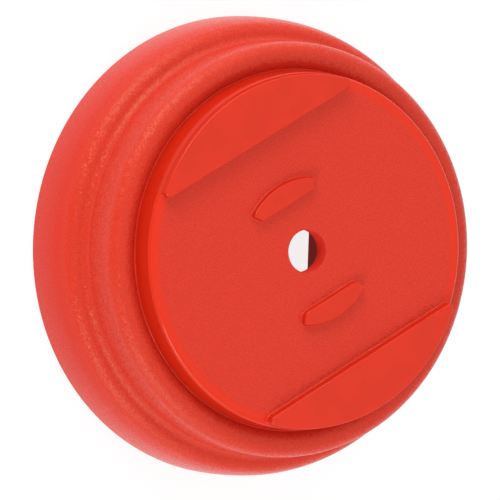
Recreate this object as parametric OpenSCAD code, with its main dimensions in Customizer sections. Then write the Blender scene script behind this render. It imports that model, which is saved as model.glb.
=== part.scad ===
// Plastic blind flange: a bell-shaped two-tier cap over a pipe end, closed by a plug-like
// centre plate with a clamping hole, and sealed by a flat rubber ring.
// The frame stands at the centre of the open rear rim, +Z along the clamping hole towards
// the front, +X along the straight edges of the pads. Millimetres.

/* [Cap] */
// Radius of the open rear rim
rim_r = 60; // [59:0.5:62]
// Wall thickness of the skirt at the rim
skirt_wall = 3.4; // [2.8:0.1:3.8]
// Radius of the upper tier's upright wall
tier_r = 53.6; // [53:0.1:54.2]
// Height of the upper tier's crown above the rim
crown_z = 31.6; // [31:0.1:32.5]
// Height of the inner shoulder that the seal sits against
seat_z = 13.2; // [11.5:0.1:13.4]
// Height of the flat under the ledge that holds the centre plate
ledge_z = 27.4; // [27:0.1:28]

/* [Centre plate] */
// Radius of the plate where it stands out of the cap
plate_r = 46; // [45.5:0.1:46.5]
// Height of the plate's front face above the rim
face_z = 37.5; // [36:0.1:38.5]
// Thickness of the plate's web round the hole
web = 4.8; // [4:0.1:6]
// Rounding of the plate's front edge
edge_round = 1.2; // [0.6:0.1:1.6]
// Diameter of the clamping hole, for an M10 bolt
hole_d = 11; // [10.5:0.1:12]
// Width across the flats of the hexagon pocket behind the hole
hex_flats = 17.3; // [17.1:0.1:17.6]
// Depth of the hexagon boss behind the front face
boss_depth = 14.8; // [12:0.1:16]

/* [Pads] */
// Distance from the hole to the straight edge of each rim pad
rim_pad_edge = 31.8; // [30:0.1:34]
// Height of the rim pads above the front face
rim_pad_h = 2.5; // [1.5:0.1:4]
// Distance from the hole to the straight edge of each small pad
small_pad_edge = 13.3; // [12:0.1:14.5]
// Length of the small pads from tip to tip
small_pad_l = 21; // [18:0.5:22]
// Height of the small pads above the front face
small_pad_h = 1.6; // [1:0.1:3]

/* [Seal] */
// Thickness of the flat sealing ring
seal_t = 3; // [2:0.5:4]

/* [Hidden] */
$fn = 180;

// Clearance between the plate and the cap, and between the seal and the cap
play = 0.15;

// Skirt: a barely curved side, then a shoulder of two arcs that turns into the valley
rim_round = 0.8;
side_z = 3;
side_curve = 66;
side_end = 6.4;
shoulder_curve = 20;
shoulder_end = 19.5;
crest_curve = 4.2;
crest_end = 77;
valley_curve = 2.5;
wall_lean = 1.5;

// Upper tier: a round crown that falls away to the plate
crown_curve = 4;
crown_end = 125;
ledge_drop = 0.9;

// Inside of the cap: the bell, and a slightly narrower pocket that holds the seal
bell_r = rim_r - skirt_wall;
pocket_r = bell_r - 1;
pocket_z = seat_z - seal_t;
throat_r = tier_r - 3.1;
opening_r = plate_r + play;

// Centre plate: a cup with a foot flange that bears against the ledge
cup_wall = 3;
foot_t = 3;
foot_r = throat_r - play;
web_z = face_z - web;
hole_chamfer = 0.25;
boss_r = 12.5;
boss_z = face_z - boss_depth;
rib_t = 2.4;
rib_depth = 6;
rib_count = 6;

// Pads: rounded ends where the straight edge meets the rim, and a sunk root for the join
rim_pad_r = plate_r - 0.4;
pad_end_round = 1.4;
small_pad_curve = 19.1;
small_pad_taper = 2;
root = 0.5;

// Points along an arc about c, from angle a0 to angle a1, one every few degrees
function arc(c, r, a0, a1, step = 6) =
    let (n = max(1, ceil(abs(a1 - a0) / step)))
    [for (i = [0 : n]) let (a = a0 + (a1 - a0) * i / n) c + r * [cos(a), sin(a)]];

// Unit vector at an angle
function dir(a) = [cos(a), sin(a)];

// The outside of the cap in section: each arc's centre follows from the end of the last
side_c = [rim_r - side_curve, side_z];
shoulder_c = side_c + (side_curve - shoulder_curve) * dir(side_end);
crest_c = shoulder_c + (shoulder_curve - crest_curve) * dir(shoulder_end);
valley_c = crest_c + (crest_curve + valley_curve) * dir(crest_end);
crown_c = [tier_r - crown_curve, crown_z - crown_curve];

cap_outside = concat(
    arc([rim_r - rim_round, rim_round], rim_round, -90, 0, 15),
    arc(side_c, side_curve, 0, side_end, 1.6),
    arc(shoulder_c, shoulder_curve, side_end, shoulder_end, 3),
    arc(crest_c, crest_curve, shoulder_end, crest_end),
    arc(valley_c, valley_curve, crest_end + 180, wall_lean + 180, 8),
    arc(crown_c, crown_curve, wall_lean, crown_end)
);

cap_inside = [
    [opening_r, crown_z - crown_curve + crown_curve * sin(crown_end) - ledge_drop],
    [opening_r, ledge_z],
    [throat_r, ledge_z],
    [throat_r, seat_z],
    [pocket_r, seat_z],
    [pocket_r, pocket_z],
    [bell_r, pocket_z],
    [bell_r, rim_round],
    [bell_r + rim_round, 0]
];

module flange_cap() {
    color("tomato")
    rotate_extrude()
    polygon(concat(cap_outside, cap_inside));
}

// The plate without its pads: cup, foot flange and web, turned about the hole
module plate_body() {
    rotate_extrude()
    polygon(concat(
        [
            [plate_r - cup_wall, ledge_z - foot_t],
            [foot_r, ledge_z - foot_t],
            [foot_r, ledge_z],
            [plate_r, ledge_z]
        ],
        arc([plate_r - edge_round, face_z - edge_round], edge_round, 0, 90, 15),
        [
            [hole_d / 2 + hole_chamfer, face_z],
            [hole_d / 2, face_z - hole_chamfer],
            [hole_d / 2, web_z],
            [plate_r - cup_wall, web_z]
        ]
    ));
}

// Round boss behind the web, with the hexagon pocket that keeps a bolt head from turning
module hex_boss() {
    translate([0, 0, boss_z])
    difference() {
        cylinder(r = boss_r, h = web_z - boss_z);
        translate([0, 0, -1])
        cylinder(d = hex_flats / cos(30), h = web_z - boss_z + 2, $fn = 6);
    }
}

// Stiffening ribs from the boss to the cup's wall, one at each corner of the hexagon
module ribs() {
    for (i = [0 : rib_count - 1])
        rotate([0, 0, i * 360 / rib_count])
        translate([boss_r - root, -rib_t / 2, web_z - rib_depth])
        cube([plate_r - cup_wall - boss_r + 2 * root, rib_t, rib_depth + root]);
}

// Outline of a rim pad: a slice of a circle just inside the plate's, its sharp ends rounded
module rim_pad_outline() {
    end_y = rim_pad_edge + pad_end_round;
    end_x = sqrt(pow(rim_pad_r - pad_end_round, 2) - pow(end_y, 2));
    lean = atan2(end_y, end_x);
    polygon(concat(
        arc([end_x, end_y], pad_end_round, -90, lean, 20),
        arc([0, 0], rim_pad_r, lean, 180 - lean, 3),
        arc([-end_x, end_y], pad_end_round, 180 - lean, 270, 20)
    ));
}

// Outline of a small pad: a slice of a circle about the hole, its ends cut off on a slant
module small_pad_outline() {
    half = small_pad_l / 2;
    tip = acos(half / small_pad_curve);
    polygon(concat(
        [
            [small_pad_taper - half, small_pad_edge],
            [half - small_pad_taper, small_pad_edge]
        ],
        arc([0, 0], small_pad_curve, tip, 180 - tip, 5)
    ));
}

module pads() {
    for (turn = [0, 180])
        rotate([0, 0, turn])
        translate([0, 0, face_z - edge_round - root]) {
            linear_extrude(rim_pad_h + edge_round + root) rim_pad_outline();
            linear_extrude(small_pad_h + edge_round + root) small_pad_outline();
        }
}

module centre_plate() {
    color("orangered") {
        plate_body();
        hex_boss();
        ribs();
        pads();
    }
}

module seal_ring() {
    color("dimgray")
    translate([0, 0, pocket_z])
    difference() {
        cylinder(r = pocket_r - play, h = seal_t);
        translate([0, 0, -1]) cylinder(r = throat_r, h = seal_t + 2);
    }
}

flange_cap();
centre_plate();
seal_ring();
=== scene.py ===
from math import atan2, cos, degrees, hypot, pi, radians, sin, sqrt

import bpy
from mathutils import Matrix, Vector


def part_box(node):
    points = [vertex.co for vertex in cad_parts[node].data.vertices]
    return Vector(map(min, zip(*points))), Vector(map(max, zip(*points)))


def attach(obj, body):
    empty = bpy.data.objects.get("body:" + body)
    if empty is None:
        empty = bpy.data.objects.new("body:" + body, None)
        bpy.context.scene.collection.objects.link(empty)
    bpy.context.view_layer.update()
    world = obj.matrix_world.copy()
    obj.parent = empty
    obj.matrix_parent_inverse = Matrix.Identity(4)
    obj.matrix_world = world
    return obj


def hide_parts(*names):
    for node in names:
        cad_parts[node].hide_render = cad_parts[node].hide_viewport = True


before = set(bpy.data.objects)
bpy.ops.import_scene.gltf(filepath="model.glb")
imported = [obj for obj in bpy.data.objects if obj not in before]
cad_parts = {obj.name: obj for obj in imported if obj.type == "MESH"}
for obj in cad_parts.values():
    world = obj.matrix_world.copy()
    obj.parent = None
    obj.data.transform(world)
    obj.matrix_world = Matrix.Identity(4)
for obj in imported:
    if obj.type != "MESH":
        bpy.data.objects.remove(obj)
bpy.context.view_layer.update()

MM = 0.001


# ---------------------------------------------------------------- sizes
def box_mm(node):
    """The lowest and highest corner of a CAD node, in millimetres."""
    low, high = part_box(node)
    return [v / MM for v in low], [v / MM for v in high]


plate_low, plate_high = box_mm("centre_plate")
seal_low, seal_high = box_mm("seal_ring")

# Cap: its sizes, and the arcs that make up its outside from the rim to the crown
RIM_R = 60.0
CROWN_Z = 31.6
TIER_R = 53.6
SKIRT_WALL = 3.4
BELL_R = RIM_R - SKIRT_WALL
POCKET_R = BELL_R - 1.0
THROAT_R = TIER_R - 3.1
THROAT_ROUND = 1.0
SEAT_Z = seal_high[2]
LEDGE_Z = 27.4
SIDE_Z, SIDE_CURVE, SIDE_END = 3.0, 66.0, 6.4
SHOULDER_CURVE, SHOULDER_END = 20.0, 19.5
CREST_CURVE, CREST_END = 4.2, 77.0
VALLEY_CURVE, WALL_LEAN = 2.5, 1.5
CROWN_CURVE, CROWN_END = 4.0, 133.8
LIP_ROUND = 0.3
RIM_ROUND = 0.8
EDGE_SOFT = 0.4

# Centre plate: its wall leans out a little towards the foot
PLATE_R = 46.0
WALL_FOOT_R = 46.3
EDGE_ROUND = 1.2
RIM_PAD_H = 2.5
FACE_Z = plate_high[2] - RIM_PAD_H
WEB_Z = FACE_Z - 4.8
CUP_R = PLATE_R - 3.0
FOOT_R = THROAT_R - 0.15
FOOT_LOW = plate_low[2]
FOOT_ROUND = 0.5
CUP_ROUND = 1.0
HOLE_R = 5.5
HOLE_ROUND = 0.22
HOLE_CHAMFER = 0.15
HEX_FLAT = 17.3 / 2
HEX_ROUND = 0.6
HEX_MOUTH_ROUND = 0.8
HEX_CHAMFER = 0.4
HEX_FLOOR_CHAMFER = 0.2
BOSS_R = 12.5
BOSS_Z = FACE_Z - 14.8

# Ribs between the boss and the plate's wall
RIB_COUNT = 6
RIB_HALF = 1.2
RIB_DEPTH = 6.0
RIB_DRAFT = 0.18
RIB_ROUND = 0.5
RIB_IN_WEB = 0.6
RIB_IN_BOSS = 0.4
RIB_IN_WALL = 0.5

# Pads on the front face
RIM_PAD_R = PLATE_R - 0.4
RIM_PAD_EDGE = 31.8
RIM_PAD_ROUND = 1.4
SMALL_PAD_R = 19.1
SMALL_PAD_EDGE = 13.3
SMALL_PAD_HALF = 10.5
SMALL_PAD_TAPER = 2.0
SMALL_PAD_H = 1.6
PAD_FOOT = 0.45
PAD_TOP = 0.4
PAD_DRAFT = 0.14
PAD_SUNK = 0.5
PAD_REACH = PLATE_R - 0.08

# Pads in pairs, a rim pad and a small pad: side, turn about the hole, and the rounding of the
# small pad's ends at its straight edge and at its tips
PAD_PAIRS = (("upper", 0, 0.75, 0.6), ("lower", 180, 2.0, 1.1))

# Where the face's grain gives way to the polished rim band, and how far the band stands up
BAND_R = 43.1
BAND_STEP = 0.04

# Seal: two grooves pressed into the side that meets the pipe
GROOVE_APART = 2.2
GROOVE_HALF = 0.5
GROOVE_DEPTH = 0.35

# Points in each turned or hexagonal ring
TURN_STEPS = 384


# ---------------------------------------------------------------- mesh helpers
def direction(angle):
    """A step of length 1 at an angle in degrees."""
    return cos(radians(angle)), sin(radians(angle))


def arc(centre, radius, start, end, step=4.0):
    """Points along an arc about a centre, from one angle to another, in degrees."""
    count = max(1, round(abs(end - start) / step))
    points = []
    for i in range(count + 1):
        x, y = direction(start + (end - start) * i / count)
        points.append((centre[0] + radius * x, centre[1] + radius * y))
    return points


def along(centre, distance, angle):
    """The point at a distance from a centre, at an angle in degrees."""
    x, y = direction(angle)
    return centre[0] + distance * x, centre[1] + distance * y


def make_object(name, verts, faces, sharp=40.0):
    """A mesh object from points in millimetres, smooth but for edges sharper than given."""
    mesh = bpy.data.meshes.new(name)
    mesh.from_pydata([tuple(c * MM for c in v) for v in verts], [], faces)
    mesh.validate()
    mesh.shade_smooth()
    mesh.set_sharp_from_angle(angle=radians(sharp))
    obj = bpy.data.objects.new(name, mesh)
    bpy.context.collection.objects.link(obj)
    weighted = obj.modifiers.new("even_shading", "WEIGHTED_NORMAL")
    weighted.weight = 100
    weighted.keep_sharp = True
    return obj


def ring_strip(first, second, count):
    """Quads between two closed rings of the same count of points."""
    quads = []
    for j in range(count):
        k = (j + 1) % count
        quads.append((first + j, first + k, second + k, second + j))
    return quads


def circle_ring(radius, z):
    return [(radius * cos(2 * pi * j / TURN_STEPS), radius * sin(2 * pi * j / TURN_STEPS), z)
            for j in range(TURN_STEPS)]


def hexagon_ring(flat, corner, z):
    """A hexagon with two flats along X and rounded corners, as a ring of points."""
    points = []
    for j in range(TURN_STEPS):
        angle = 2 * pi * j / TURN_STEPS
        sector = round(angle / (pi / 3)) * pi / 3
        off = angle - sector
        reach = (flat - corner) / cos(pi / 6)
        side = flat / cos(pi / 6 - abs(off))
        nose = reach * cos(off) + sqrt(max(0.0, corner ** 2 - (reach * sin(off)) ** 2))
        touch = atan2(corner * sin(pi / 6), reach + corner * cos(pi / 6))
        radius = nose if abs(off) < touch else side
        points.append((radius * cos(angle), radius * sin(angle), z))
    return points


def closed_loop_of_rings(rings):
    """Vertices and faces of a ring of rings: a solid with a hole through it."""
    verts = [v for ring in rings for v in ring]
    faces = []
    for i in range(len(rings)):
        following = (i + 1) % len(rings)
        faces += ring_strip(i * TURN_STEPS, following * TURN_STEPS, TURN_STEPS)
    return verts, faces


# ---------------------------------------------------------------- flange cap
def cap_profile():
    """The cap's section, from the rim up over the crown and down again inside."""
    side_c = (RIM_R - SIDE_CURVE, SIDE_Z)
    shoulder_c = along(side_c, SIDE_CURVE - SHOULDER_CURVE, SIDE_END)
    crest_c = along(shoulder_c, SHOULDER_CURVE - CREST_CURVE, SHOULDER_END)
    valley_c = along(crest_c, CREST_CURVE + VALLEY_CURVE, CREST_END)
    crown_c = (TIER_R - CROWN_CURVE, CROWN_Z - CROWN_CURVE)
    points = arc((RIM_R - RIM_ROUND, RIM_ROUND), RIM_ROUND, -90, 0, 10)
    points += arc(side_c, SIDE_CURVE, 0, SIDE_END, 0.8)
    points += arc(shoulder_c, SHOULDER_CURVE, SIDE_END, SHOULDER_END, 1.6)[1:]
    points += arc(crest_c, CREST_CURVE, SHOULDER_END, CREST_END, 4)[1:]
    points += arc(valley_c, VALLEY_CURVE, CREST_END + 180, WALL_LEAN + 180, 5)[1:]
    points += arc(crown_c, CROWN_CURVE, WALL_LEAN, CROWN_END, 4)
    # A small polished fillet that rises to hug the plate's wall
    lip_c = along(points[-1], LIP_ROUND, CROWN_END)
    points += arc(lip_c, LIP_ROUND, CROWN_END + 180, 180, 10)[1:]
    lip_r = lip_c[0] - LIP_ROUND
    # Down inside: opening, ledge, throat, pocket for the seal, bell
    soft = EDGE_SOFT
    points += [(lip_r, LEDGE_Z + soft), (lip_r + soft, LEDGE_Z)]
    throat_c = (THROAT_R - THROAT_ROUND, LEDGE_Z - THROAT_ROUND)
    points += arc(throat_c, THROAT_ROUND, 90, 0, 15)
    points += arc((THROAT_R + soft, SEAT_Z + soft), soft, 180, 270, 22.5)
    points += [(POCKET_R - soft, SEAT_Z), (POCKET_R, SEAT_Z - soft)]
    points += arc((POCKET_R + soft, seal_low[2] + soft), soft, 180, 270, 22.5)
    points += arc((BELL_R - soft, seal_low[2] - soft), soft, 90, 0, 22.5)
    points += arc((BELL_R + RIM_ROUND, RIM_ROUND), RIM_ROUND, 180, 270, 10)
    return points


def make_flange_cap():
    rings = [circle_ring(r, z) for r, z in cap_profile()]
    verts, faces = closed_loop_of_rings(rings)
    obj = make_object("flange_cap_shell", verts, faces)
    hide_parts("flange_cap")
    return obj


# ---------------------------------------------------------------- centre plate
def plate_profile():
    """The plate's section, from the hole over the front and down to the boss behind."""
    low_face = FACE_Z - BAND_STEP
    # The wall leans out until it is just below the top of the crown, and then drops straight
    wall_top = CROWN_Z - CROWN_CURVE * 0.25
    soft = 0.3
    foot, cup = FOOT_ROUND, CUP_ROUND
    points = arc((HOLE_R + HOLE_ROUND, low_face - HOLE_ROUND), HOLE_ROUND, 180, 90, 30)
    points += [(BAND_R - 0.1, low_face), (BAND_R + 0.1, FACE_Z)]
    points += arc((PLATE_R - EDGE_ROUND, FACE_Z - EDGE_ROUND), EDGE_ROUND, 90, 0, 7.5)
    points += [(WALL_FOOT_R, wall_top), (WALL_FOOT_R, LEDGE_Z + soft), (WALL_FOOT_R + soft, LEDGE_Z)]
    points += arc((FOOT_R - foot, LEDGE_Z - foot), foot, 90, 0, 22.5)
    points += arc((FOOT_R - foot, FOOT_LOW + foot), foot, 0, -90, 22.5)
    points += arc((CUP_R + foot, FOOT_LOW + foot), foot, 270, 180, 22.5)
    points += arc((CUP_R - cup, WEB_Z - cup), cup, 0, 90, 15)
    points += arc((BOSS_R + cup, WEB_Z - cup), cup, 90, 180, 15)
    points += arc((BOSS_R - 0.6, BOSS_Z + foot), foot, 0, -90, 22.5)
    return points


def make_plate_body():
    rings = [circle_ring(r, z) for r, z in plate_profile()]
    # Up inside the boss: the hexagon pocket, then the hole through the web
    rings.append(hexagon_ring(HEX_FLAT + HEX_CHAMFER, HEX_MOUTH_ROUND, BOSS_Z))
    rings.append(hexagon_ring(HEX_FLAT, HEX_ROUND, BOSS_Z + HEX_CHAMFER))
    rings.append(hexagon_ring(HEX_FLAT, HEX_ROUND, WEB_Z - HEX_FLOOR_CHAMFER))
    rings.append(hexagon_ring(HEX_FLAT - HEX_FLOOR_CHAMFER, HEX_ROUND, WEB_Z))
    rings.append(circle_ring(HOLE_R + HOLE_CHAMFER, WEB_Z))
    rings.append(circle_ring(HOLE_R, WEB_Z + HOLE_CHAMFER))
    verts, faces = closed_loop_of_rings(rings)
    return make_object("centre_plate_body", verts, faces, sharp=35.0)


def plain_corner(edge_y, circle_r, corner_r):
    """The rounded end of a slice of a circle, as (centre, radius, start, end) arcs."""
    y = edge_y + corner_r
    x = sqrt((circle_r - corner_r) ** 2 - y ** 2)
    return [((x, y), corner_r, -90, degrees(atan2(y, x)))]


def tapered_corner(edge_y, circle_r, half, taper, corner_r, tip_r):
    """The slanted end of a slice of a circle: a round at the straight edge, then a tip."""
    start = (half - taper, edge_y)
    tip = (half, sqrt(circle_r ** 2 - half ** 2))
    slant = atan2(tip[1] - start[1], tip[0] - start[0])
    facing = degrees(slant) - 90
    # The first round touches the straight edge and the slant
    back_off = corner_r * (1 + sin(radians(facing))) / cos(radians(facing))
    corner = (start[0] - back_off, edge_y + corner_r)
    # The tip's round touches the slant and the arc about the hole
    inner = along(start, -tip_r, facing)
    along_slant = inner[0] * cos(slant) + inner[1] * sin(slant)
    reach = sqrt(along_slant ** 2 + (circle_r - tip_r) ** 2 - inner[0] ** 2 - inner[1] ** 2)
    tip_c = along(inner, reach - along_slant, degrees(slant))
    return [(corner, corner_r, -90, facing),
            (tip_c, tip_r, facing, degrees(atan2(tip_c[1], tip_c[0])))]


def outline(corners, circle_r):
    """Outline of a pad as (point, outward normal) pairs: the corners at its right end, an
    arc about the hole, the same corners mirrored, and the straight edge."""
    right = []
    for centre, radius, start, end in corners:
        steps = max(3, round((end - start) / 10))
        for i in range(steps + 1):
            angle = start + (end - start) * i / steps
            right.append((along(centre, radius, angle), direction(angle)))
    lean = corners[-1][3]
    steps = max(8, round((180 - 2 * lean) * circle_r / 60))
    top = []
    for i in range(1, steps):
        normal = direction(lean + (180 - 2 * lean) * i / steps)
        top.append(((circle_r * normal[0], circle_r * normal[1]), normal))
    left = [((-p[0], p[1]), (-n[0], n[1])) for p, n in reversed(right)]
    steps = 12
    start_x, edge_y = left[-1][0]
    straight = [((start_x * (1 - 2 * i / steps), edge_y), (0.0, -1.0)) for i in range(1, steps)]
    return right + top + left + straight


def face_height(radius):
    """Height of the plate's front surface, which rounds off at its rim."""
    past = radius - (PLATE_R - EDGE_ROUND)
    if past <= 0:
        return FACE_Z
    return FACE_Z - EDGE_ROUND + sqrt(max(0.0, EDGE_ROUND ** 2 - past ** 2))


def pad_section(height):
    """Half section of a pad's side as (offset outwards, height, how much it has left the
    surface it stands on): a foot fillet, a drafted wall and a rounded top edge."""
    foot, top = PAD_FOOT, PAD_TOP
    # It starts inside the plate, so that no gap can show at its foot
    section = [(foot + 0.05, -PAD_SUNK, 0.0), (foot + 0.02, -0.01, 0.0)]
    for a in (15, 30, 45, 60, 75, 90):
        section.append((foot - foot * sin(radians(a)), foot - foot * cos(radians(a)), a / 90))
    for a in (0, 18, 36, 54, 72, 90):
        offset = -PAD_DRAFT - top + top * cos(radians(a))
        section.append((offset, height - top + top * sin(radians(a)), 1.0))
    return section


def pad_ring(shape, offset, rise, free, spin):
    """One ring of a pad's side: its outline moved outwards, kept on the plate, and set at a
    height above the front surface."""
    ring = []
    for point, normal in shape:
        x = point[0] + normal[0] * offset
        y = point[1] + normal[1] * offset
        r = hypot(x, y)
        if r > PAD_REACH:
            x, y, r = x * PAD_REACH / r, y * PAD_REACH / r, PAD_REACH
        z = FACE_Z + rise + (face_height(r) - FACE_Z) * (1 - free)
        if r < BAND_R:
            z -= BAND_STEP * (1 - free)
        ring.append(tuple(spin @ Vector((x, y, z))))
    return ring


def make_pad(name, shape, height, turn):
    spin = Matrix.Rotation(radians(turn), 3, "Z")
    rings = [pad_ring(shape, *place, spin) for place in pad_section(height)]
    count = len(shape)
    verts = [v for ring in rings for v in ring]
    faces = []
    for i in range(len(rings) - 1):
        faces += ring_strip(i * count, (i + 1) * count, count)
    faces.append(tuple(reversed(range(count))))
    last = (len(rings) - 1) * count
    faces.append(tuple(range(last, last + count)))
    return make_object(name, verts, faces, sharp=50.0)


def make_rib(name, turn):
    """A drafted rib from the boss to the plate's wall, with a rounded free edge."""
    narrow = RIB_HALF - RIB_DRAFT
    corner = (narrow - RIB_ROUND, -RIB_DEPTH + RIB_ROUND)
    # It starts inside the web, and ends inside the boss and the wall
    side = [(RIB_HALF, RIB_IN_WEB), (narrow, corner[1])]
    side += arc(corner, RIB_ROUND, 0, -90, 22.5)[1:]
    section = side + [(-y, z) for y, z in reversed(side)]
    spin = Matrix.Rotation(radians(turn), 3, "Z")
    verts = []
    for x in (BOSS_R - RIB_IN_BOSS, CUP_R + RIB_IN_WALL):
        verts += [tuple(spin @ Vector((x, y, WEB_Z + z))) for y, z in section]
    count = len(section)
    faces = ring_strip(count, 0, count)
    faces += [tuple(range(count)), tuple(reversed(range(count, 2 * count)))]
    return make_object(name, verts, faces, sharp=50.0)


def make_centre_plate():
    pieces = [make_plate_body()]
    rim_pad = outline(plain_corner(RIM_PAD_EDGE, RIM_PAD_R, RIM_PAD_ROUND), RIM_PAD_R)
    for side, turn, corner_r, tip_r in PAD_PAIRS:
        small_end = tapered_corner(SMALL_PAD_EDGE, SMALL_PAD_R, SMALL_PAD_HALF, SMALL_PAD_TAPER,
                                   corner_r, tip_r)
        small_pad = outline(small_end, SMALL_PAD_R)
        pieces.append(make_pad("rim_pad_" + side, rim_pad, RIM_PAD_H, turn))
        pieces.append(make_pad("small_pad_" + side, small_pad, SMALL_PAD_H, turn))
    for i in range(RIB_COUNT):
        pieces.append(make_rib("plate_rib_%d" % (i + 1), i * 360 / RIB_COUNT))
    for piece in pieces:
        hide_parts("centre_plate")
    return pieces


# ---------------------------------------------------------------- seal ring
def make_seal_ring():
    soft = EDGE_SOFT
    low, high = seal_low[2], seal_high[2]
    outer, inner = POCKET_R - 0.15, THROAT_R + 0.1
    middle = (outer + inner) / 2
    points = arc((outer - soft, high - soft), soft, 90, 0, 22.5)
    points += arc((outer - soft, low + soft), soft, 0, -90, 22.5)
    for groove in (middle + GROOVE_APART / 2, middle - GROOVE_APART / 2):
        points += [(groove + GROOVE_HALF, low), (groove, low + GROOVE_DEPTH), (groove - GROOVE_HALF, low)]
    points += arc((inner + soft, low + soft), soft, 270, 180, 22.5)
    points += arc((inner + soft, high - soft), soft, 180, 90, 22.5)
    rings = [circle_ring(r, z) for r, z in points]
    verts, faces = closed_loop_of_rings(rings)
    obj = make_object("seal_ring_rubber", verts, faces)
    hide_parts("seal_ring")
    return obj


# ---------------------------------------------------------------- materials
def new_material(name):
    material = bpy.data.materials.new(name)
    material.use_nodes = True
    tree = material.node_tree
    shader = tree.nodes["Principled BSDF"]
    return material, tree, shader


def noise(tree, place, scale, detail):
    made = tree.nodes.new("ShaderNodeTexNoise")
    made.inputs["Scale"].default_value = scale
    made.inputs["Detail"].default_value = detail
    tree.links.new(place, made.inputs["Vector"])
    return made.outputs["Fac"]


def remap(tree, value, from_low, from_high, to_low, to_high):
    """A value carried smoothly from one range over to another, and held at its ends."""
    made = tree.nodes.new("ShaderNodeMapRange")
    made.interpolation_type = "SMOOTHSTEP"
    made.inputs["From Min"].default_value = from_low
    made.inputs["From Max"].default_value = from_high
    made.inputs["To Min"].default_value = to_low
    made.inputs["To Max"].default_value = to_high
    tree.links.new(value, made.inputs["Value"])
    return made.outputs["Result"]


def combine(tree, how, first, second):
    made = tree.nodes.new("ShaderNodeMath")
    made.operation = how
    for socket, value in zip(made.inputs, (first, second)):
        if isinstance(value, (int, float)):
            socket.default_value = value
        else:
            tree.links.new(value, socket)
    return made.outputs["Value"]


def vector_maths(tree, how, *values):
    made = tree.nodes.new("ShaderNodeVectorMath")
    made.operation = how
    for socket, value in zip(made.inputs, values):
        if isinstance(value, tuple):
            socket.default_value = value
        else:
            tree.links.new(value, socket)
    return made.outputs["Vector"]


def mixed_colour(tree, factor, first, second):
    """A colour between two others, each given as numbers or as a socket."""
    made = tree.nodes.new("ShaderNodeMix")
    made.data_type = "RGBA"
    first_in, second_in = [s for s in made.inputs if s.type == "RGBA"]
    for socket, colour in ((first_in, first), (second_in, second)):
        if isinstance(colour, tuple):
            socket.default_value = (*colour, 1.0)
        else:
            tree.links.new(colour, socket)
    tree.links.new(factor, made.inputs[0])
    return [s for s in made.outputs if s.type == "RGBA"][0]


# Reds of the plastic, by zone: the wall and pocket reds are painted shade, the bore red is painted bounce
# light, and the skirt red is painted-out sheen
CAP_RED = (0.600, 0.0340, 0.0170)
# Painted loss of sheen: a deeper red on the skirt's side in place of its sheen
SKIRT_RED_SHEEN_PAINTED_OUT = (0.590, 0.0170, 0.0060)
FACE_RED = (0.618, 0.0305, 0.0158)
SMOOTH_RED = (0.645, 0.0250, 0.0105)
BAND_RED = (0.685, 0.0240, 0.0085)
# Painted shade and painted red reflection on the upright sides of the plate and its pads
WALL_SHADE_RED = (0.550, 0.0175, 0.0050)
# Painted bounce light: a brighter, deeper red inside the hole
BORE_BOUNCE_RED = (0.680, 0.0170, 0.0060)
# Painted shade: a dark red in the hexagon pocket behind the web
POCKET_SHADE_RED = (0.300, 0.0080, 0.0050)

# The rubber, and the bloom on it
RUBBER_BLACK = (0.018, 0.018, 0.019)
RUBBER_GREY = (0.035, 0.034, 0.034)

# How finely each pattern repeats, per metre
CLOUD_SCALE = 140.0
RIPPLE_SCALE = 300.0
PIT_SCALE = 2300.0
GRAINS_PER_METRE = 4200.0

# How far a grain tips the surface, and how much of that is left where the grain is calm
GRAIN_TIP = 0.40
CALM_SHARE = 0.3

# Lowest and highest roughness of the grained and the polished plastic, and that of dull hollows
GRAIN_ROUGH = (0.24, 0.34)
POLISH_ROUGH = (0.15, 0.24)
DULL_ROUGH = 0.8

# Heights between which the side of the skirt, with calm grain and a deeper red painted on in place of its
# sheen, gives way to its grained crest
CALM_LOW_Z = 11.0
CALM_HIGH_Z = 17.0


def blend_by(tree, mask, where_one, where_zero):
    """A value that is one socket where the mask is 1, and the other where it is 0."""
    rest = combine(tree, "SUBTRACT", 1.0, mask)
    return combine(tree, "ADD", combine(tree, "MULTIPLY", where_one, mask),
                   combine(tree, "MULTIPLY", where_zero, rest))


def scaled(colour, share):
    return tuple(c * share for c in colour)


def facets(tree, place, normal, mask):
    """The normal, tipped a little a different way in each tiny grain where the mask is 1."""
    cells = tree.nodes.new("ShaderNodeTexVoronoi")
    cells.inputs["Scale"].default_value = GRAINS_PER_METRE
    tree.links.new(place, cells.inputs["Vector"])
    lean = vector_maths(tree, "SUBTRACT", cells.outputs["Color"], (0.5, 0.5, 0.5))
    reach = combine(tree, "MULTIPLY", mask, GRAIN_TIP)
    tipped = vector_maths(tree, "ADD", normal, vector_maths(tree, "MULTIPLY", lean, reach))
    return vector_maths(tree, "NORMALIZE", tipped)


def bumped(tree, height, distance, strength):
    """The surface's normal, raised and lowered by a pattern."""
    bump = tree.nodes.new("ShaderNodeBump")
    bump.inputs["Distance"].default_value = distance
    bump.inputs["Strength"].default_value = strength
    tree.links.new(height, bump.inputs["Height"])
    return bump.outputs["Normal"]


def plastic_colour(tree, place, grain_red, mask, zones, cloud, pits):
    """Red with darker pits where it is grained, faintly mottled where it is polished, with each zone's
    red laid over it, painted shade and light among them.
    """
    pitted = mixed_colour(tree, remap(tree, pits, 0.30, 0.62, 0.0, 1.0),
                          scaled(grain_red, 0.96), scaled(grain_red, 1.03))
    mottled = mixed_colour(tree, remap(tree, cloud, 0.35, 0.62, 0.0, 1.0),
                           scaled(SMOOTH_RED, 0.94), SMOOTH_RED)
    colour = mixed_colour(tree, mask, mottled, pitted)
    for zone_mask, zone_red in zones:
        colour = mixed_colour(tree, zone_mask(tree, place), colour, zone_red)
    return colour


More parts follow.
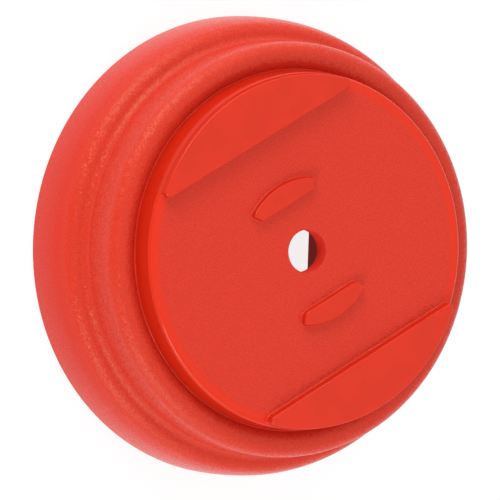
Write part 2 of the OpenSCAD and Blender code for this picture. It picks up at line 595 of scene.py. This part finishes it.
def red_plastic(name, grain_red, grain_mask, zones, calm_mask=None, dull_mask=None):
    """Red moulded plastic. Each mask makes a socket that is 1 in one zone of the surface and 0
    elsewhere: grain_mask where it carries the spark-eroded grain and isn't polished, calm_mask
    where that grain is faint, and dull_mask where it is unpolished. zones holds (mask, colour)
    pairs for zones given another red, painted shade and light in some of them, and a later pair covers an
    earlier one."""
    material, tree, shader = new_material(name)
    place = tree.nodes.new("ShaderNodeTexCoord").outputs["Object"]
    mask = grain_mask(tree, place)
    cloud = noise(tree, place, CLOUD_SCALE, 4.0)
    pits = noise(tree, place, PIT_SCALE, 3.0)
    ripple = noise(tree, place, RIPPLE_SCALE, 2.0)

    colour = plastic_colour(tree, place, grain_red, mask, zones, cloud, pits)
    tree.links.new(colour, shader.inputs["Base Color"])

    rough_grain = remap(tree, pits, 0.3, 0.7, *GRAIN_ROUGH)
    rough_polish = remap(tree, cloud, 0.3, 0.7, *POLISH_ROUGH)
    rough = blend_by(tree, mask, rough_grain, rough_polish)
    if dull_mask:
        dull = combine(tree, "MULTIPLY", dull_mask(tree, place), DULL_ROUGH)
        rough = combine(tree, "MAXIMUM", rough, dull)
    tree.links.new(rough, shader.inputs["Roughness"])

    if calm_mask:
        share = remap(tree, calm_mask(tree, place), 0.0, 1.0, 1.0, CALM_SHARE)
        mask = combine(tree, "MULTIPLY", mask, share)
    rippled = bumped(tree, ripple, distance=0.00003, strength=0.03)
    tree.links.new(facets(tree, place, rippled, mask), shader.inputs["Normal"])

    shader.inputs["IOR"].default_value = 1.42
    shader.inputs["Specular IOR Level"].default_value = 0.30
    shader.inputs["Specular Tint"].default_value = (1.0, 1.0, 0.72, 1.0)
    shader.inputs["Subsurface Weight"].default_value = 0.06
    shader.inputs["Subsurface Radius"].default_value = (0.0030, 0.0006, 0.0003)
    shader.inputs["Subsurface Scale"].default_value = 1.0
    return material


def radius_and_height(tree, place):
    """Distance from the hole's axis and height above the rim, as sockets in metres."""
    parts = tree.nodes.new("ShaderNodeSeparateXYZ")
    tree.links.new(place, parts.inputs[0])
    squares = [combine(tree, "MULTIPLY", parts.outputs[k], parts.outputs[k]) for k in ("X", "Y")]
    radius = combine(tree, "SQRT", combine(tree, "ADD", *squares), 0.0)
    return radius, parts.outputs["Z"]


def rising(tree, value, low, high):
    """1 above a stretch given in millimetres, and 0 below it."""
    return remap(tree, value, low * MM, high * MM, 0.0, 1.0)


def falling(tree, value, low, high):
    """1 below a stretch given in millimetres, and 0 above it."""
    return remap(tree, value, low * MM, high * MM, 1.0, 0.0)


def cap_mask(tree, place):
    """Grained all over but for the polished lip round the plate."""
    radius, _ = radius_and_height(tree, place)
    lip_r = WALL_FOOT_R + LIP_ROUND + 0.35
    return rising(tree, radius, lip_r - 0.08, lip_r + 0.08)


def skirt_calm_and_painted_sheen_loss_mask(tree, place):
    """The side of the skirt, below its crest, where the grain is calm and a deeper red is painted on in
    place of its sheen.
    """
    _, z = radius_and_height(tree, place)
    return falling(tree, z, CALM_LOW_Z, CALM_HIGH_Z)


def plate_mask(tree, place):
    """Grained on the flat of the front face inside the polished band only."""
    radius, z = radius_and_height(tree, place)
    inside = falling(tree, radius, BAND_R, BAND_R + 0.3)
    off_face = combine(tree, "ABSOLUTE", combine(tree, "SUBTRACT", z, FACE_Z * MM), 0.0)
    return combine(tree, "MULTIPLY", inside, falling(tree, off_face, 0.1, 0.2))


def upright_shade_mask(tree, place):
    """The polished upright sides of the plate and its pads, found by their normal, where a darker red is
    painted as shade and as the red reflection of the parts round them.
    """
    parts = tree.nodes.new("ShaderNodeSeparateXYZ")
    tree.links.new(place.node.outputs["Normal"], parts.inputs[0])
    return remap(tree, parts.outputs["Z"], 0.30, 0.75, 1.0, 0.0)


def band_mask(tree, place):
    """The polished band round the front face, but not the pads that stand on it."""
    radius, z = radius_and_height(tree, place)
    outside = rising(tree, radius, BAND_R, BAND_R + 0.2)
    return combine(tree, "MULTIPLY", outside, falling(tree, z, FACE_Z + 0.2, FACE_Z + 0.6))


def behind(tree, place, height):
    """All of the hole and its boss that lies behind a height."""
    radius, z = radius_and_height(tree, place)
    near = falling(tree, radius, BOSS_R, BOSS_R + 0.3)
    return combine(tree, "MULTIPLY", near, falling(tree, z, height, height + 0.4))


def hole_mask(tree, place):
    """The hole through the web, and everything behind it, where the plastic is dull and a brighter red is
    painted as bounced light.
    """
    return behind(tree, place, FACE_Z - 0.8)


def pocket_shade_mask(tree, place):
    """The hexagon pocket behind the web, painted a dark red as shade."""
    return behind(tree, place, WEB_Z)


def rubber():
    material, tree, shader = new_material("seal_rubber")
    place = tree.nodes.new("ShaderNodeTexCoord").outputs["Object"]
    speck = noise(tree, place, 900.0, 3.0)
    bloom = remap(tree, noise(tree, place, 60.0, 3.0), 0.4, 0.7, 0.0, 1.0)
    colour = mixed_colour(tree, bloom, RUBBER_BLACK, RUBBER_GREY)
    tree.links.new(colour, shader.inputs["Base Color"])
    tree.links.new(remap(tree, speck, 0.3, 0.7, 0.55, 0.75), shader.inputs["Roughness"])
    tree.links.new(bumped(tree, speck, distance=0.00005, strength=0.6), shader.inputs["Normal"])
    return material


# ---------------------------------------------------------------- stage, light and camera
VIEW_TILT = 29.81      # between the hole's axis and the view, degrees
VIEW_ROLL = 4.76       # how far the axis leans below level in the picture, degrees
VIEW_TURN = 33.13      # of the part's X axis about the hole's, above the view's level, degrees
VIEW_DISTANCE = 1.4913
VIEW_SHIFT = (-0.003881, 0.001225)    # of the camera, to its left and down
FOCAL_PER_WIDTH = 11.394
SENSOR_WIDTH = 36.0

# Lights by name, direction in shares of the view's right, up and back, side, and watts
LIGHTS = (
    ("upper_softbox", (-0.1, 0.85, 0.5), 1.2, 14.5),
    ("lower_softbox", (-0.1, -0.85, 0.5), 1.2, 8.5),
    ("right_softbox", (0.86, 0.0, 0.5), 1.2, 1.5),
    ("upper_spark", (-0.30, 0.69, 0.66), 0.45, 5.5),
    ("lower_spark", (-0.30, -0.69, 0.66), 0.45, 6.0),
)
LIGHT_DISTANCE = 1.7

# The surroundings, and the dark flag in them: how much it takes away, and the cosines of the
# angles from its middle where it starts and is at its darkest
WORLD_STRENGTH = 0.80
FLAG_DEPTH = 0.85
FLAG_EDGE = 0.55
FLAG_CORE = 0.97

FLOOR_HALF = 3.0
FLOOR_GREY = 0.15
FLOOR_GLOW = 0.85
WHITE = (1.0, 1.0, 1.0, 1.0)


def view_axes():
    """Right, up and back of the camera, in the part's frame."""
    tilt, roll, turn = radians(VIEW_TILT), radians(VIEW_ROLL), radians(VIEW_TURN)
    level = Vector((cos(turn), -sin(turn), 0.0))
    upright = Vector((sin(turn), cos(turn), 0.0))
    axis = Vector((0.0, 0.0, 1.0))
    right = level * cos(tilt) * cos(roll) + upright * sin(roll) + axis * sin(tilt) * cos(roll)
    up = level * -cos(tilt) * sin(roll) + upright * cos(roll) - axis * sin(tilt) * sin(roll)
    back = level * -sin(tilt) + axis * cos(tilt)
    return right, up, back


def make_camera():
    right, up, back = view_axes()
    data = bpy.data.cameras.new("camera")
    data.sensor_width = SENSOR_WIDTH
    data.lens = SENSOR_WIDTH * FOCAL_PER_WIDTH
    data.clip_start = 0.05
    data.clip_end = 20.0
    camera = bpy.data.objects.new("camera", data)
    place = back * VIEW_DISTANCE - right * VIEW_SHIFT[0] - up * VIEW_SHIFT[1]
    turn = Matrix((right, up, back)).transposed().to_4x4()
    camera.matrix_world = Matrix.Translation(place) @ turn
    bpy.context.collection.objects.link(camera)
    bpy.context.scene.camera = camera


def softbox(name, aim, side, power):
    """A square soft light, shining at the part from a direction given in the view's axes."""
    data = bpy.data.lights.new(name, "AREA")
    data.shape = "RECTANGLE"
    data.size = side
    data.size_y = side
    data.energy = power
    lamp = bpy.data.objects.new(name, data)
    away = sum((axis * share for axis, share in zip(view_axes(), aim)), Vector()).normalized()
    lamp.location = away * LIGHT_DISTANCE
    lamp.rotation_euler = away.to_track_quat("Z", "Y").to_euler()
    bpy.context.collection.objects.link(lamp)


def studio_world():
    """White surroundings, with a darker flag at the left of the view, level with the floor."""
    world = bpy.data.worlds.new("studio")
    world.use_nodes = True
    tree = world.node_tree
    background = tree.nodes["Background"]
    toward = tree.nodes.new("ShaderNodeTexCoord").outputs["Generated"]
    facing = tree.nodes.new("ShaderNodeVectorMath")
    facing.operation = "DOT_PRODUCT"
    turn = radians(VIEW_TURN)
    facing.inputs[1].default_value = (-cos(turn), sin(turn), 0.0)
    tree.links.new(toward, facing.inputs[0])
    strength = remap(tree, facing.outputs["Value"], FLAG_EDGE, FLAG_CORE,
                     WORLD_STRENGTH, WORLD_STRENGTH * (1 - FLAG_DEPTH))
    tree.links.new(strength, background.inputs["Strength"])
    background.inputs["Color"].default_value = WHITE
    return world


def make_floor():
    h = FLOOR_HALF
    mesh = bpy.data.meshes.new("floor")
    mesh.from_pydata([(-h, -h, 0), (h, -h, 0), (h, h, 0), (-h, h, 0)], [], [(0, 1, 2, 3)])
    floor = bpy.data.objects.new("floor", mesh)
    bpy.context.collection.objects.link(floor)
    material, _, shader = new_material("pale_floor")
    shader.inputs["Base Color"].default_value = (FLOOR_GREY, FLOOR_GREY, FLOOR_GREY, 1.0)
    shader.inputs["Roughness"].default_value = 0.9
    shader.inputs["Emission Color"].default_value = WHITE
    shader.inputs["Emission Strength"].default_value = FLOOR_GLOW
    mesh.materials.append(material)


def make_stage():
    make_floor()
    bpy.context.scene.world = studio_world()
    bpy.context.scene.view_settings.view_transform = "Standard"
    for name, aim, side, power in LIGHTS:
        softbox(name, aim, side, power)


# ---------------------------------------------------------------- assembly
make_camera()
make_stage()

# On the skirt's side the grain is calm and a deeper red is painted on in place of its sheen
grained = red_plastic("red_plastic_grained", CAP_RED, cap_mask, [(skirt_calm_and_painted_sheen_loss_mask, SKIRT_RED_SHEEN_PAINTED_OUT)],
                      calm_mask=skirt_calm_and_painted_sheen_loss_mask)
# Plate zones: the polished band's red, painted shade on the upright sides and in the pocket, and painted
# bounce light in the hole
plate_zones = [(band_mask, BAND_RED), (upright_shade_mask, WALL_SHADE_RED),
               (hole_mask, BORE_BOUNCE_RED), (pocket_shade_mask, POCKET_SHADE_RED)]
smooth = red_plastic("red_plastic_smooth", FACE_RED, plate_mask, plate_zones, dull_mask=hole_mask)

cap = make_flange_cap()
cap.data.materials.append(grained)
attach(cap, "root")

for piece in make_centre_plate():
    piece.data.materials.append(smooth)
    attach(piece, "root")

seal = make_seal_ring()
seal.data.materials.append(rubber())
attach(seal, "root")
